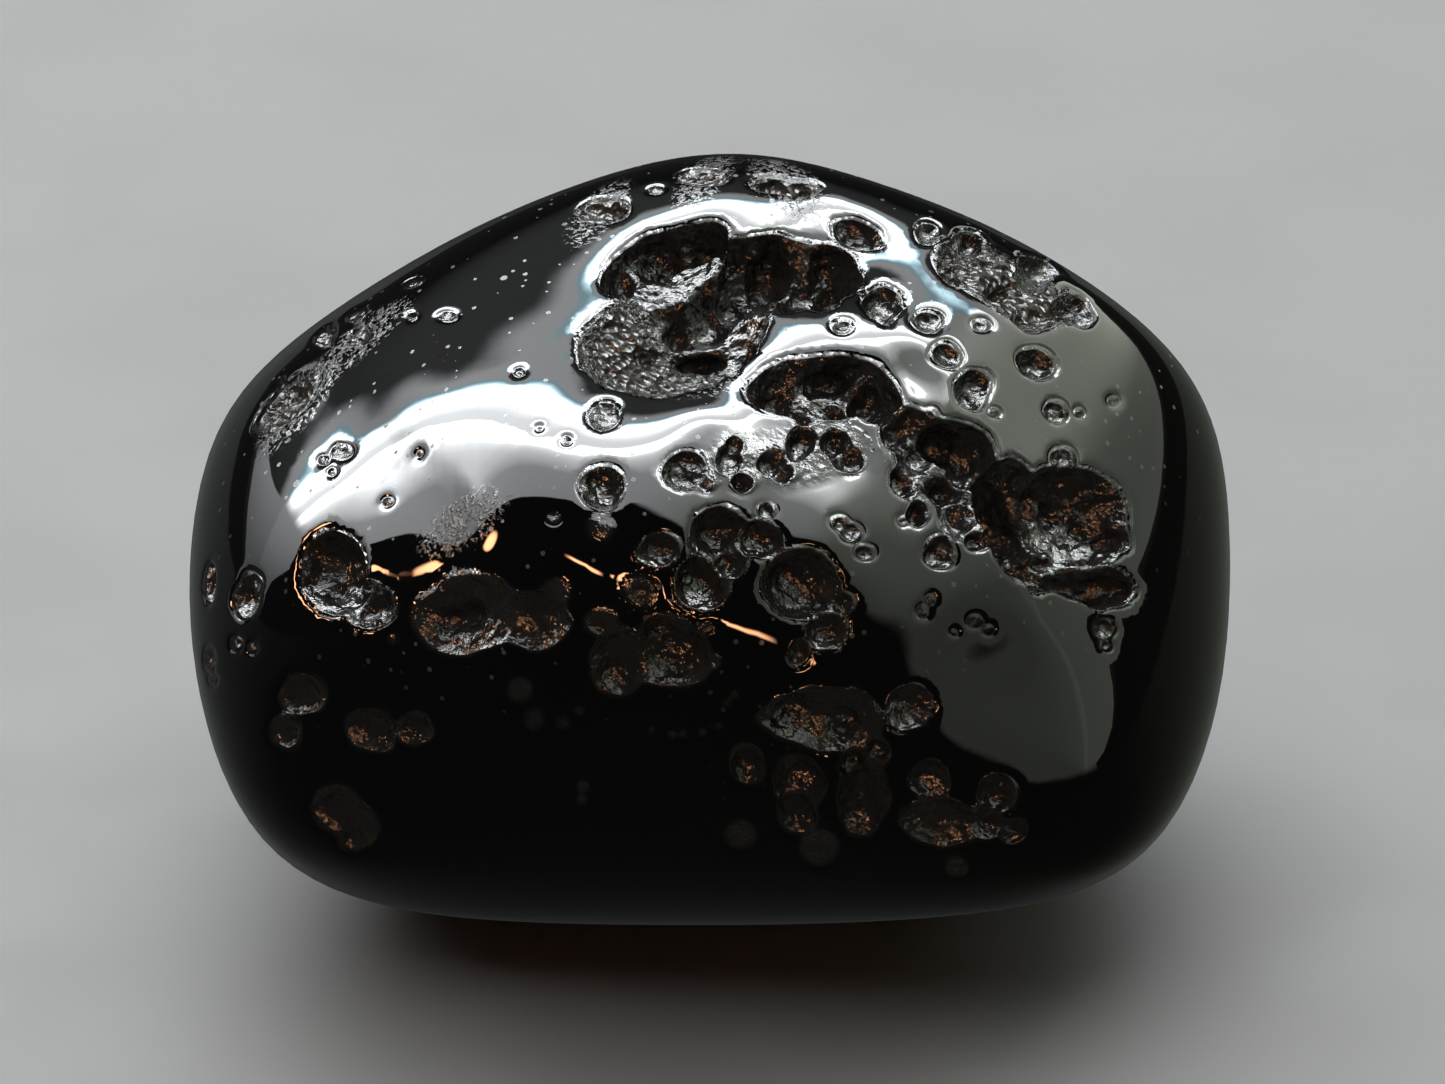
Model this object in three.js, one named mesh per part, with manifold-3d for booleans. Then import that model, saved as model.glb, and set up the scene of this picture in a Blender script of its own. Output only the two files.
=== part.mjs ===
// A tumbled tektite: one pebble of natural black glass, worn smooth over broad facets and pitted by gas
// bubbles, some of them run together into ragged hollows. Millimetres, +Z up. The stone lies on its flat
// underside at z = 0, its long side runs along X, and its most pitted side faces -Y.

import * as THREE from 'three';
import { mergeVertices } from 'three/addons/utils/BufferGeometryUtils.js';
import Module from 'manifold-3d';

// ---------------------------------------------------------------------------------------------------------
// Driving dimensions
// ---------------------------------------------------------------------------------------------------------

const CENTRE_HEIGHT = 9.0; // from the table to the centre that the facets are measured from
const EDGE_SHARPNESS = 8; // the exponent that rounds one facet into the next: higher is sharper
const BLANK_DETAIL = 8; // how finely the unpitted stone is faceted
const BOWL_DETAIL = 1; // how finely each bubble bowl is faceted
const LARGE_BOWL_DETAIL = 2; // the same for a bowl wider than LARGE_BOWL
const LARGE_BOWL = 1.1; // half width from which a bowl is faceted more finely
const BOWL_CENTRE = 0.35; // how far a bowl's centre lies above the skin, as a share of its upright half axis

// The worn facets: [turn, rise, distance]. Turn runs from the front (-Y) round by the right (+X) and rise
// runs up from level, both in degrees. Distance is from the stone's centre to the facet.
const FACETS = [
  [-5, -15, 11.0],
  [-45, 15, 12.7],
  [10, 40, 13.2],
  [35, 30, 11.0],
  [60, 20, 12.8],
  [55, 50, 10.8],
  [25, 65, 11.7],
  [-15, 75, 8.8],
  [-75, 50, 10.3],
  [-100, -10, 12.9],
  [100, -5, 13.4],
  [180, -5, 11.2],
  [150, 40, 9.3],
  [-150, 40, 9.2],
  [-140, -30, 12.5],
  [140, -35, 12.3],
  [85, -55, 11.5],
  [-90, -45, 12.7],
  [180, -45, 10.5],
  [0, -60, 9.8],
  [180, -75, 9.6],
];

// Soft dips that the tumbling wore around the largest hollows: [turn, rise, spread, depth], the first three
// in degrees as above.
const DIPS = [
  [-5, 60, 12, 0.55],
  [25, 50, 12, 0.05],
  [15, 30, 12, 0.1],
  [-25, 50, 10, 0.1],
];

// The bowls on the front and top are laid out on a drawing sheet that passes through the stone's centre and
// leans back from upright, as seen from a station point square in front of it. Each bowl opens where its
// line of sight meets the skin.
const SHEET_LEAN = 28; // degrees
const STATION_DISTANCE = 160;

// One row for each bowl: [across, up, half width, half height, turn, depth]. Across and up place it on the
// sheet, the half sizes and the turn (degrees, anticlockwise) give its outline there, and depth goes in
// from the skin.
const GREAT_HOLLOW = [
  [0.6, 6.7, 3.0, 1.0, 12, 1.0],
  [-1.1, 4.9, 1.9, 1.6, 0, 1.0],
  [-1.9, 6.3, 0.9, 0.8, 40, 1.2],
  [-0.9, 7.2, 1.3, 0.6, 15, 1.2],
  [0.6, 7.4, 0.8, 0.5, 0, 1.2],
  [0.6, 6.4, 0.9, 0.7, 0, 1.6],
  [-0.1, 5.7, 1.1, 0.55, 20, 1.9],
  [1.7, 7.0, 0.8, 0.7, 0, 1.7],
  [3.0, 6.8, 0.8, 0.6, 0, 1.5],
  [2.8, 6.15, 0.6, 0.45, 20, 0.9],
];
const AROUND_GREAT_HOLLOW = [
  [4.35, 5.85, 0.5, 0.45, 0, 0.55],
  [3.75, 7.55, 0.65, 0.4, -20, 0.5],
];
const RIDGE_HOLLOW = [
  [3.0, 3.7, 1.9, 0.65, 0, 0.8],
  [1.75, 3.55, 0.65, 0.6, 0, 1.0],
  [2.6, 3.9, 0.65, 0.6, 0, 1.1],
  [3.5, 3.85, 0.8, 0.7, 0, 1.2],
  [4.3, 3.5, 0.6, 0.6, 0, 1.0],
];
const GASH = [
  [5.8, 1.9, 2.0, 0.75, -50, 0.6],
  [8.0, 0.2, 0.85, 1.6, 15, 1.3],
  [4.9, 2.7, 0.55, 0.5, 0, 0.8],
  [6.15, 2.5, 0.65, 0.55, 0, 0.9],
  [6.75, 2.0, 0.5, 0.6, 0, 0.8],
  [6.0, 1.3, 0.55, 0.6, 0, 0.8],
  [6.3, 0.6, 0.5, 0.6, 0, 0.7],
  [7.5, 1.2, 0.75, 0.7, 0, 1.6],
  [7.8, 0.3, 0.75, 0.8, 0, 1.8],
  [8.2, -0.7, 0.7, 0.75, 0, 1.6],
  [9.0, -0.9, 0.8, 0.75, 0, 1.2],
  [9.8, -1.4, 0.65, 0.6, 0, 1.0],
  [9.3, 0.6, 1.05, 0.75, -30, 1.1],
  [10.2, 0.0, 0.5, 0.6, 0, 0.9],
];
const RIGHT_SHOULDER = [
  [7.4, 6.5, 2.2, 0.8, -30, 0.35],
  [6.6, 7.35, 0.45, 0.4, 0, 0.55],
  [6.3, 6.65, 0.5, 0.4, 0, 0.5],
  [7.4, 6.35, 0.45, 0.4, 0, 0.6],
  [8.35, 6.7, 0.5, 0.45, 0, 0.6],
  [8.2, 5.5, 0.5, 0.35, 0, 0.45],
  [9.1, 5.75, 0.45, 0.35, 0, 0.5],
];
const RIGHT_FACET = [
  [5.85, -0.45, 0.42, 0.42, 0, 0.3],
  [6.0, 4.55, 0.45, 0.4, 0, 0.35],
  [6.7, 3.7, 0.45, 0.5, 0, 0.4],
  [8.2, 4.35, 0.5, 0.45, 0, 0.35],
];
const MIDDLE_DIMPLE = [
  [1.4, 1.95, 2.3, 0.8, 8, 0.3],
  [-0.55, 1.7, 0.5, 0.45, 0, 0.4],
  [0.5, 1.9, 0.55, 0.45, 0, 0.4],
  [1.7, 1.8, 0.5, 0.4, 0, 0.4],
  [2.35, 2.35, 0.47, 0.45, 0, 0.45],
  [3.4, 2.15, 0.5, 0.45, 0, 0.45],
];
const BELLY_BOWLS = [
  [0.3, 0.0, 0.75, 0.7, 0, 0.8],
  [1.4, -0.1, 0.55, 0.5, 0, 0.6],
  [0.6, -0.7, 0.5, 0.5, 0, 0.7],
  [-0.05, -1.25, 0.6, 0.6, 0, 0.7],
  [2.4, -1.25, 0.95, 0.85, 0, 0.9],
  [3.05, -2.35, 0.5, 0.5, 0, 0.5],
  [-1.2, -0.3, 0.55, 0.45, 0, 0.45],
  [-2.65, 1.3, 0.6, 0.55, 0, 0.5],
  [-2.55, 3.05, 0.37, 0.35, 0, 0.3],
];
const LEFT_BOWLS = [
  [-9.45, -0.9, 0.8, 1.05, 0, 1.0],
  [-8.5, -1.75, 0.62, 0.6, 0, 0.7],
  [-6.0, -2.0, 1.4, 1.05, 0, 0.7],
  [-4.4, -2.25, 0.95, 0.75, 0, 0.6],
  [-2.2, -3.2, 0.75, 0.8, 0, 0.6],
  [-0.9, -3.0, 0.95, 0.85, 0, 0.7],
];
const LOWER_RIGHT = [
  [2.9, -4.6, 1.6, 0.8, 0, 0.5],
  [2.3, -6.2, 0.65, 0.65, 0, 0.6],
  [2.25, -7.1, 0.5, 0.5, 0, 0.5],
  [3.9, -6.6, 0.65, 1.1, 0, 0.6],
  [4.1, -5.5, 0.45, 0.4, 0, 0.45],
  [5.1, -4.25, 0.55, 0.6, 0, 0.5],
  [5.6, -6.1, 0.55, 0.5, 0, 0.5],
  [5.9, -7.2, 0.95, 0.65, 0, 0.6],
  [7.1, -6.7, 0.55, 0.65, 0, 0.5],
];
const LOWER_LEFT = [
  [-10.2, -4.0, 0.6, 0.5, 0, 0.4],
  [-8.4, -4.9, 0.6, 0.6, 0, 0.4],
  [-9.3, -6.9, 0.6, 0.6, 0, 0.4],
  [-8.75, -7.5, 0.5, 0.5, 0, 0.4],
  [-11.6, -1.6, 0.4, 0.7, 0, 0.35],
];
const CROWN = [
  [-0.1, 9.0, 0.7, 0.22, 0, 0.25],
  [1.65, 8.85, 0.6, 0.25, 0, 0.45],
  [2.4, 8.75, 0.5, 0.25, 0, 0.4],
  [-2.6, 8.15, 0.65, 0.35, 0, 0.3],
  [-10.6, 3.3, 1.1, 0.45, 45, 0.3],
];
const SHEET_BOWLS = [
  ...GREAT_HOLLOW,
  ...AROUND_GREAT_HOLLOW,
  ...RIDGE_HOLLOW,
  ...GASH,
  ...RIGHT_SHOULDER,
  ...RIGHT_FACET,
  ...MIDDLE_DIMPLE,
  ...BELLY_BOWLS,
  ...LEFT_BOWLS,
  ...LOWER_RIGHT,
  ...LOWER_LEFT,
  ...CROWN,
];

// Bowls on the sides that the sheet does not show: [turn, rise, half width, half height, twist, depth], the
// first two and the twist in degrees.
const FAR_BOWLS = [
  [150, 30, 1.3, 0.9, 20, 0.8],
  [161, 25, 0.9, 0.8, 0, 0.9],
  [156, 36, 0.7, 0.6, 0, 0.7],
  [143, 36, 0.6, 0.5, 0, 0.5],
  [-152, 12, 1.0, 0.8, -30, 0.7],
  [-145, 17, 0.7, 0.6, 0, 0.6],
  [-158, 19, 0.55, 0.5, 0, 0.5],
  [-170, 52, 0.8, 0.6, 10, 0.5],
  [-176, 46, 0.5, 0.5, 0, 0.4],
  [128, -6, 0.8, 0.7, 40, 0.6],
  [122, -13, 0.55, 0.5, 0, 0.5],
  [118, 22, 0.5, 0.45, 0, 0.4],
  [-118, 28, 0.7, 0.5, 30, 0.5],
  [-112, -18, 0.6, 0.5, 0, 0.45],
  [-165, -30, 0.7, 0.6, 0, 0.5],
  [150, -38, 0.6, 0.55, 0, 0.45],
];

const GLASS_COLOUR = 0x0b0b0c;
const GLASS_ROUGHNESS = 0.08;

// Working tolerances.
const CUTTING_BLOCK = 80; // side of the block that trims the underside flat
const REACH = 16; // no part of the skin lies further than this from the centre
const STRIDE = 0.2; // step along a line of sight while it looks for the skin
const HALVINGS = 20; // how often the last stride is halved to find the skin exactly
const SLOPE_STEP = 0.01; // half the span over which the skin's slope is measured
const WELD_DISTANCE = 1e-5; // vertices this close are one vertex

// ---------------------------------------------------------------------------------------------------------
// The stone's skin, about its own centre
// ---------------------------------------------------------------------------------------------------------

/** The unit vector for a turn from the front and a rise from level, both in degrees. */
function heading(turn, rise) {
  const azimuth = THREE.MathUtils.degToRad(turn);
  const elevation = THREE.MathUtils.degToRad(rise);
  return new THREE.Vector3(
    Math.sin(azimuth) * Math.cos(elevation),
    -Math.cos(azimuth) * Math.cos(elevation),
    Math.sin(elevation),
  );
}

const facets = FACETS.map(([turn, rise, distance]) => ({ normal: heading(turn, rise), distance }));
const dips = DIPS.map(([turn, rise, spread, depth]) => ({
  heading: heading(turn, rise),
  spread: THREE.MathUtils.degToRad(spread),
  depth,
}));

/** The distance from the centre to the skin along a unit vector. */
function skinRadius(direction) {
  let sum = 0;
  for (const facet of facets) {
    sum += Math.max(0, direction.dot(facet.normal) / facet.distance) ** EDGE_SHARPNESS;
  }
  let radius = sum ** (-1 / EDGE_SHARPNESS);
  for (const dip of dips) {
    const chordSquared = 2 - 2 * direction.dot(dip.heading);
    radius -= dip.depth * Math.exp(-chordSquared / dip.spread ** 2);
  }
  return radius;
}

/** How far a point lies outside the skin, measured from the centre. Inside it is negative. */
function heightOverSkin(point) {
  const direction = point.clone().normalize();
  return point.length() - skinRadius(direction);
}

/** The outward normal of the skin at a point on it. */
function skinNormal(point) {
  const slopes = ['x', 'y', 'z'].map((axis) => {
    const ahead = point.clone();
    const behind = point.clone();
    ahead[axis] += SLOPE_STEP;
    behind[axis] -= SLOPE_STEP;
    return heightOverSkin(ahead) - heightOverSkin(behind);
  });
  return new THREE.Vector3(...slopes).normalize();
}

/** The first point where a ray from outside meets the skin. */
function meetSkin(origin, direction) {
  const ray = new THREE.Ray(origin, direction);
  const isOutside = (distance) => heightOverSkin(ray.at(distance, new THREE.Vector3())) > 0;
  let outside = origin.length() - REACH;
  while (isOutside(outside + STRIDE)) {
    outside += STRIDE;
    if (outside > origin.length() + REACH) {
      throw new Error('a bowl on the sheet lies off the stone');
    }
  }
  let inside = outside + STRIDE;
  for (let halving = 0; halving < HALVINGS; halving += 1) {
    const middle = (outside + inside) / 2;
    if (isOutside(middle)) {
      outside = middle;
    } else {
      inside = middle;
    }
  }
  return ray.at(inside, new THREE.Vector3());
}

/** The unpitted stone: a geodesic sphere drawn out to the skin. */
function blankGeometry() {
  const geometry = new THREE.IcosahedronGeometry(1, BLANK_DETAIL);
  const positions = geometry.attributes.position;
  const vertex = new THREE.Vector3();
  for (let index = 0; index < positions.count; index += 1) {
    vertex.fromBufferAttribute(positions, index).normalize();
    vertex.multiplyScalar(skinRadius(vertex));
    positions.setXYZ(index, vertex.x, vertex.y, vertex.z);
  }
  return geometry;
}

// ---------------------------------------------------------------------------------------------------------
// Bubble bowls
// ---------------------------------------------------------------------------------------------------------

/** The ellipsoid that hollows a bowl, from its place, the half axes of its mouth and its depth. */
function bowlGeometry(place, normal, acrossAxis, upAxis, depth) {
  const isLarge = Math.max(acrossAxis.length(), upAxis.length()) > LARGE_BOWL;
  const geometry = new THREE.IcosahedronGeometry(1, isLarge ? LARGE_BOWL_DETAIL : BOWL_DETAIL);
  const widening = 1 / Math.sqrt(1 - BOWL_CENTRE ** 2);
  const halfHeight = depth / (1 - BOWL_CENTRE);
  const shape = new THREE.Matrix4().makeBasis(
    acrossAxis.clone().multiplyScalar(widening),
    upAxis.clone().multiplyScalar(widening),
    normal.clone().multiplyScalar(halfHeight),
  );
  shape.setPosition(place.clone().addScaledVector(normal, BOWL_CENTRE * halfHeight));
  return geometry.applyMatrix4(shape);
}

/** A bowl laid out on the drawing sheet. */
function sheetBowl([across, up, halfWidth, halfHeight, turn, depth]) {
  const sheetAcross = new THREE.Vector3(1, 0, 0);
  const towardsStation = heading(0, SHEET_LEAN);
  const sheetUp = new THREE.Vector3().crossVectors(towardsStation, sheetAcross);
  const station = towardsStation.clone().multiplyScalar(STATION_DISTANCE);
  const mark = sheetAcross.clone().multiplyScalar(across).addScaledVector(sheetUp, up);
  const sight = mark.sub(station).normalize();
  const place = meetSkin(station, sight);
  const normal = skinNormal(place);
  const ontoSkin = (vector) => vector.addScaledVector(sight, -vector.dot(normal) / sight.dot(normal));
  const angle = THREE.MathUtils.degToRad(turn);
  const widthAxis = sheetAcross.clone().multiplyScalar(Math.cos(angle));
  widthAxis.addScaledVector(sheetUp, Math.sin(angle)).multiplyScalar(halfWidth);
  const heightAxis = sheetUp.clone().multiplyScalar(Math.cos(angle));
  heightAxis.addScaledVector(sheetAcross, -Math.sin(angle)).multiplyScalar(halfHeight);
  return bowlGeometry(place, normal, ontoSkin(widthAxis), ontoSkin(heightAxis), depth);
}

/** A bowl on one of the sides that the sheet does not show. */
function farBowl([turn, rise, halfWidth, halfHeight, twist, depth]) {
  const direction = heading(turn, rise);
  const place = direction.clone().multiplyScalar(skinRadius(direction));
  const normal = skinNormal(place);
  const level = new THREE.Vector3(0, 0, 1).cross(normal).normalize();
  const widthAxis = level.applyAxisAngle(normal, THREE.MathUtils.degToRad(twist));
  const heightAxis = new THREE.Vector3().crossVectors(normal, widthAxis).multiplyScalar(halfHeight);
  return bowlGeometry(place, normal, widthAxis.multiplyScalar(halfWidth), heightAxis, depth);
}

// ---------------------------------------------------------------------------------------------------------
// Cutting
// ---------------------------------------------------------------------------------------------------------

const wasm = await Module();
wasm.setup();

/** The manifold solid of a closed geometry. */
function toSolid(geometry) {
  geometry.deleteAttribute('normal');
  geometry.deleteAttribute('uv');
  const welded = mergeVertices(geometry, WELD_DISTANCE);
  return new wasm.Manifold(new wasm.Mesh({
    numProp: 3,
    vertProperties: new Float32Array(welded.attributes.position.array),
    triVerts: new Uint32Array(welded.index.array),
  }));
}

/** The flat-shaded geometry of a manifold solid. */
function toGeometry(solid) {
  const mesh = solid.getMesh();
  const geometry = new THREE.BufferGeometry();
  geometry.setAttribute('position', new THREE.BufferAttribute(mesh.vertProperties, 3));
  geometry.setIndex(new THREE.BufferAttribute(mesh.triVerts, 1));
  const faceted = geometry.toNonIndexed();
  faceted.computeVertexNormals();
  return faceted;
}

/** The block of everything above the table, with the table at the stone's resting height. */
function blockAboveTable() {
  const block = new THREE.BoxGeometry(CUTTING_BLOCK, CUTTING_BLOCK, CUTTING_BLOCK);
  return block.translate(0, 0, CUTTING_BLOCK / 2 - CENTRE_HEIGHT);
}

/** The whole stone: the blank, trimmed flat underneath and hollowed by every bowl. */
function tektiteGeometry() {
  let stone = toSolid(blankGeometry()).intersect(toSolid(blockAboveTable()));
  for (const bowl of [...SHEET_BOWLS.map(sheetBowl), ...FAR_BOWLS.map(farBowl)]) {
    stone = stone.subtract(toSolid(bowl));
  }
  const geometry = toGeometry(stone);
  geometry.computeBoundingBox();
  const { min, max } = geometry.boundingBox;
  return geometry.translate(-(min.x + max.x) / 2, -(min.y + max.y) / 2, -min.z);
}

const glass = new THREE.MeshStandardMaterial({ color: GLASS_COLOUR, roughness: GLASS_ROUGHNESS, metalness: 0 });
const tektite = new THREE.Mesh(tektiteGeometry(), glass);
tektite.name = 'tektite';

const group = new THREE.Group();
group.add(tektite);

export default group;
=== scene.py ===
import itertools
import math

import bpy
import numpy as np
from mathutils import Matrix, Vector


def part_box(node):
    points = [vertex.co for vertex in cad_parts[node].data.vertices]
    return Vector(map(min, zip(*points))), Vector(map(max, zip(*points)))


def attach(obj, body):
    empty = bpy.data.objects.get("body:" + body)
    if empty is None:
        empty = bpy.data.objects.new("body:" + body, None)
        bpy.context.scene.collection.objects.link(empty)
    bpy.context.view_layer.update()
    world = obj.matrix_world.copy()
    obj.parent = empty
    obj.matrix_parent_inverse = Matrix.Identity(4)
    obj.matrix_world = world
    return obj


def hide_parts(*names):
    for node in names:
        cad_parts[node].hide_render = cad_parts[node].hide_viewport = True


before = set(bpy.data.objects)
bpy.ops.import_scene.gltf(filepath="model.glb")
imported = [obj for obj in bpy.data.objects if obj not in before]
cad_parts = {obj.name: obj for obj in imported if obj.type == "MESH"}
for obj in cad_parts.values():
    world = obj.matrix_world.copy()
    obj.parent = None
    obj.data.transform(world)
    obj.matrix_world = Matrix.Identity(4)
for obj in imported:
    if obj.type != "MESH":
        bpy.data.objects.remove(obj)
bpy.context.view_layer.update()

# A tumbled tektite: a pebble of natural black glass, polished by tumbling and pitted by gas bubbles.
# Sizes are in millimetres about the stone's own centre, and become metres when the mesh is finished.

MM = 0.001

# ---------------------------------------------------------------------------------------------------------
# The stone's worn form
# ---------------------------------------------------------------------------------------------------------

CENTRE_HEIGHT = 9.0        # from the table to the centre that the facets are measured from
EDGE_SHARPNESS = 8         # the exponent that rounds one facet into the next
SLOPE_STEP = 0.004         # how far to the side the heights are read that a slope is taken from

# Worn facets: turn from the front round by the right, rise from level (degrees), distance from the centre.
FACETS = [
    (-5, -15, 11.0), (-45, 15, 12.7), (10, 40, 13.2), (35, 30, 11.0), (60, 20, 12.8), (55, 50, 10.8),
    (25, 65, 11.7), (-15, 75, 8.8), (-75, 50, 10.3), (-100, -10, 12.9), (100, -5, 13.4), (180, -5, 11.2),
    (150, 40, 9.3), (-150, 40, 9.2), (-140, -30, 12.5), (140, -35, 12.3), (85, -55, 11.5),
    (-90, -45, 12.7), (180, -45, 10.5), (0, -60, 9.8), (180, -75, 9.6),
]

# Soft dips in the worn skin, or soft swells where the depth is negative: turn, rise, spread in degrees and
# depth.
DIPS = [
    (-3.0, 59.4, 5.3, 0.8), (33.4, 75.5, 20.7, -0.55), (16.3, 25.3, 7.7, -0.25), (-15.6, 51.7, 11.0, 0.52),
    (-64.0, 78.0, 17.0, 0.67), (-67.5, 26.6, 7.7, 0.19), (-52.7, 29.2, 9.4, 0.4), (-17.8, 36.3, 17.4, -0.91),
    (-17.4, 38.6, 8.4, 0.27), (34.3, 70.8, 10.9, 0.39), (-15.6, 89.7, 13.4, -0.35), (75.1, 70.9, 13.5, 0.89),
    (45.4, 45.1, 4.5, 0.21), (-55.9, 73.7, 10.9, -0.35), (42.1, 17.0, 16.3, -0.58), (-29.1, 40.7, 5.5, 0.04),
    (-48.5, 37.7, 8.9, -0.15), (-14.4, 66.1, 11.1, 0.19), (14.5, 63.0, 6.9, 0.2), (-20.6, 65.6, 5.4, -0.1),
    (-61.8, 35.6, 7.8, -0.06), (-26.9, 56.1, 4.4, -0.12), (1.0, 43.9, 4.4, -0.1), (-53.5, 31.9, 6.5, -0.12),
    (-55.3, 51.2, 10.6, -0.07), (-40.2, 74.4, 8.7, 0.28), (-76.7, 25.7, 5.7, 0.1), (48.3, 44.2, 9.4, -0.25),
    (36.4, 4.9, 9.6, 0.31), (-36.8, 24.5, 9.2, 0.38),
]

# The sheet that the bowls on the front and top are laid out on: it passes through the stone's centre,
# leans back from upright, and is seen from a station point square in front of it.
SHEET_LEAN = 28            # degrees
STATION_DISTANCE = 160
BEFORE_THE_STONE = 16.0    # how far in front of the sheet the sight lines start to look for the skin
SIGHT_STEPS, SIGHT_STRIDE = 80, 0.7        # steps along a sight line, each this share of the height left

# One row for each bowl: across and up on the sheet, half width, half height, turn (degrees) and depth.
GREAT_HOLLOW = [
    (-1.05, 5.3, 2.25, 2.3, 0, 0.85),
    (-0.75, 6.8, 1.6, 0.85, 20, 0.6),
    (1.9, 6.45, 1.6, 0.85, -4, 0.85),
    (-2.15, 6.55, 0.6, 0.45, 50, 0.95),
    (-1.35, 7.15, 0.85, 0.45, 25, 1.25),
    (-0.2, 7.55, 0.8, 0.4, 12, 1.15),
    (0.75, 7.2, 0.4, 0.27, 12, 1.1),
    (-0.65, 5.6, 0.65, 0.62, 0, 1.45),
    (0.05, 6.0, 0.9, 0.68, 30, 1.65),
    (1.0, 6.55, 0.85, 0.7, 25, 1.65),
    (1.7, 6.8, 0.6, 0.75, -10, 1.6),
    (3.05, 6.55, 0.78, 0.62, 0, 1.5),
    (2.35, 6.4, 0.6, 0.55, 0, 1.35),
    (-1.15, 4.85, 0.55, 0.32, -15, 1.15),
    (-0.25, 4.5, 0.8, 0.32, 5, 1.1),
    (0.65, 4.85, 0.45, 0.3, 40, 1.05),
    (2.0, 5.95, 0.45, 0.35, 10, 1.05),
    (2.9, 5.95, 0.4, 0.3, 10, 0.9),
]
AROUND_GREAT_HOLLOW = [
    (4.35, 5.85, 0.5, 0.45, 0, 0.55),
    (3.75, 7.55, 0.65, 0.4, -20, 0.5),
    (5.55, 5.4, 0.42, 0.3, 0, 0.3),
    (3.35, 5.25, 0.25, 0.2, 0, 0.2),
    (6.85, 5.25, 0.25, 0.15, 0, 0.15),
]
RIDGE_HOLLOW = [
    (2.85, 3.75, 1.85, 0.8, 0, 0.75),
    (1.9, 3.75, 0.72, 0.62, 0, 1.1),
    (3.1, 4.15, 0.9, 0.38, 5, 1.15),
    (2.55, 3.2, 0.45, 0.35, 0, 0.9),
    (3.35, 3.35, 0.4, 0.35, 0, 0.95),
    (4.25, 3.5, 0.6, 0.68, 0, 1.2),
]
GASH = [
    (5.8, 1.9, 2.0, 0.75, -50, 0.6),
    (6.2, 2.4, 0.9, 0.5, -25, 1.3),
    (7.95, 0.35, 0.85, 1.65, 22, 2.1),
    (9.15, 0.5, 1.5, 1.2, -30, 1.3),
    (9.65, -1.15, 1.15, 0.52, -12, 1.15),
    (4.9, 2.7, 0.55, 0.5, 0, 0.8),
    (5.5, 2.1, 0.45, 0.5, 0, 0.8),
    (6.75, 2.0, 0.5, 0.6, 0, 1.1),
    (5.05, 1.45, 0.4, 0.45, 0, 0.6),
    (6.2, 1.3, 0.5, 0.4, 0, 1.0),
    (6.35, 0.6, 0.5, 0.6, 0, 0.8),
    (6.8, -0.1, 0.3, 0.25, 0, 0.4),
    (5.3, 0.6, 0.3, 0.35, 0, 0.4),
    (7.55, 1.3, 0.6, 0.6, 0, 1.5),
    (8.1, 0.2, 0.6, 0.75, 0, 1.95),
    (8.55, -0.8, 0.6, 0.6, 0, 1.55),
    (8.85, 0.95, 0.25, 0.8, 25, 1.5),
    (9.4, 0.7, 0.24, 0.8, 32, 1.45),
    (9.95, 0.4, 0.26, 0.65, 35, 1.25),
    (10.3, 0.0, 0.28, 0.4, 35, 0.95),
    (9.1, -0.5, 0.5, 0.35, -15, 1.3),
    (10.1, -1.4, 0.5, 0.45, 0, 1.1),
    (9.95, -2.35, 0.28, 0.25, 0, 0.25),
    (10.0, -2.75, 0.15, 0.13, 0, 0.12),
]
RIGHT_SHOULDER = [
    (7.4, 6.5, 2.2, 0.8, -30, 0.35),
    (5.55, 7.65, 0.35, 0.3, 0, 0.35),
    (6.6, 7.35, 0.45, 0.4, 0, 0.55),
    (6.3, 6.65, 0.5, 0.4, 0, 0.5),
    (7.4, 6.35, 0.45, 0.4, 0, 0.6),
    (8.35, 6.7, 0.5, 0.45, 0, 0.6),
    (8.2, 5.5, 0.5, 0.35, 0, 0.45),
    (9.1, 5.75, 0.45, 0.35, 0, 0.5),
    (6.1, 7.2, 0.3, 0.25, 0, 0.4),
    (8.1, 6.95, 0.28, 0.2, 0, 0.35),
    (9.4, 5.5, 0.3, 0.25, 0, 0.3),
]
RIGHT_FACET = [
    (5.85, -0.45, 0.42, 0.42, 0, 0.3),
    (6.0, 4.55, 0.45, 0.4, 0, 0.35),
    (6.7, 3.7, 0.45, 0.5, 0, 0.4),
    (8.2, 4.35, 0.5, 0.45, 0, 0.35),
    (8.75, 3.1, 0.3, 0.3, 0, 0.25),
    (8.9, 1.95, 0.32, 0.32, 0, 0.25),
    (3.3, 0.35, 0.25, 0.2, 0, 0.2),
    (3.6, 0.1, 0.3, 0.25, 0, 0.25),
    (3.95, -0.4, 0.25, 0.2, 0, 0.2),
    (10.15, 3.4, 0.15, 0.13, 0, 0.1),
    (5.6, 3.1, 0.15, 0.15, 0, 0.12),
    (5.4, -1.9, 0.15, 0.15, 0, 0.1),
    (6.7, -2.1, 0.2, 0.18, 0, 0.14),
    (7.05, -2.35, 0.12, 0.12, 0, 0.1),
    (6.2, -2.4, 0.08, 0.08, 0, 0.07),
]
MIDDLE_DIMPLE = [
    (1.4, 1.95, 2.3, 0.8, 8, 0.05),
    (-0.55, 1.7, 0.5, 0.45, 0, 0.4),
    (0.0, 1.3, 0.2, 0.2, 0, 0.2),
    (0.5, 1.95, 0.35, 0.35, 0, 0.4),
    (0.7, 2.35, 0.2, 0.2, 0, 0.3),
    (0.9, 1.35, 0.3, 0.25, 0, 0.35),
    (1.6, 1.9, 0.38, 0.35, 0, 0.45),
    (1.95, 1.6, 0.25, 0.25, 0, 0.4),
    (2.35, 2.35, 0.47, 0.45, 0, 0.5),
    (3.3, 2.3, 0.35, 0.35, 0, 0.45),
    (3.55, 1.95, 0.4, 0.35, 0, 0.4),
]
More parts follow.
